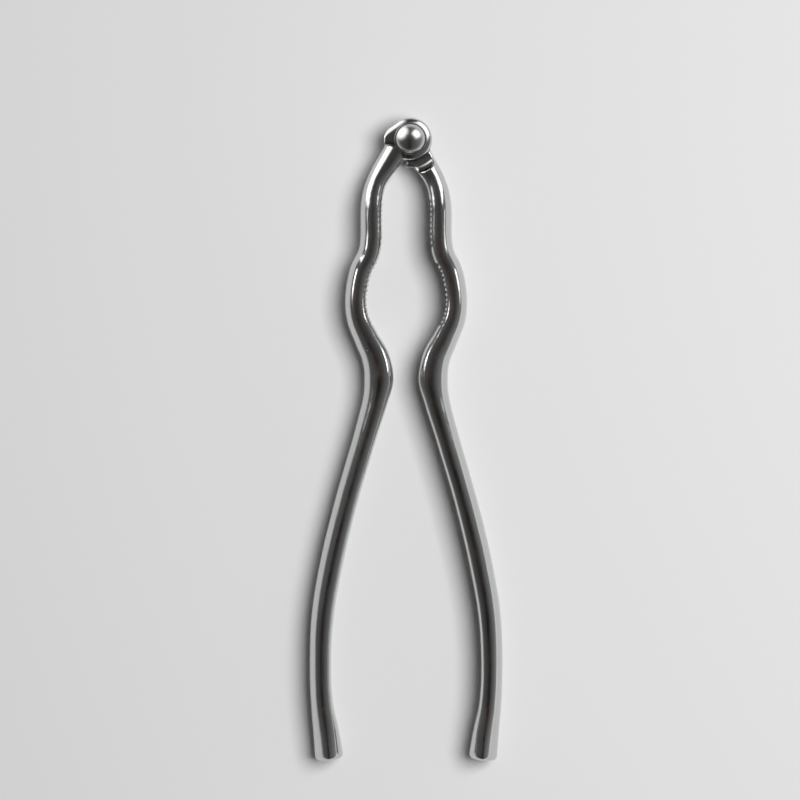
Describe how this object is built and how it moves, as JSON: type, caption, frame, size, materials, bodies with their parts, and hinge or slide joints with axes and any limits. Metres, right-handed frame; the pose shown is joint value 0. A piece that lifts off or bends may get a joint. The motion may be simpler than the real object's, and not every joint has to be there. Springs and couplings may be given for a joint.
{
  "type": "lever nutcracker",
  "caption": "Two-lever nutcracker: small and large toothed jaws below a riveted fork hinge, a narrow waist, and long bowed grips that flare at the ends.",
  "frame": {"origin": "on the pivot's axis, in the plane of the rivet's flat tail, which is the plane that the tool lies on", "axes": "+Z out of the domed rivet head, square to the levers' plane; +Y from the grips towards the head; +X to the tongue lever's side"},
  "size_m": [0.0531, 0.1767, 0.0124],
  "materials": {
    "plated_casting": "zinc die casting, polished and chrome plated, with faint casting ripple",
    "plated_steel": "steel rivet and washers, bright nickel and chrome plated"
  },
  "bodies": {
    "fork_side": {"fork_lever": "plated_casting", "pivot_rivet": "plated_steel", "front_washer": "plated_steel", "rear_washer": "plated_steel"},
    "tongue_side": {"tongue_lever": "plated_casting"}
  },
  "joints": [
    {"name": "pivot", "type": "hinge", "parent": "fork_side", "child": "tongue_side", "pos_m": [0, 0, 0.0053], "axis": [0, 0, 1], "range_deg": [-5.5, 90]}
  ]
}
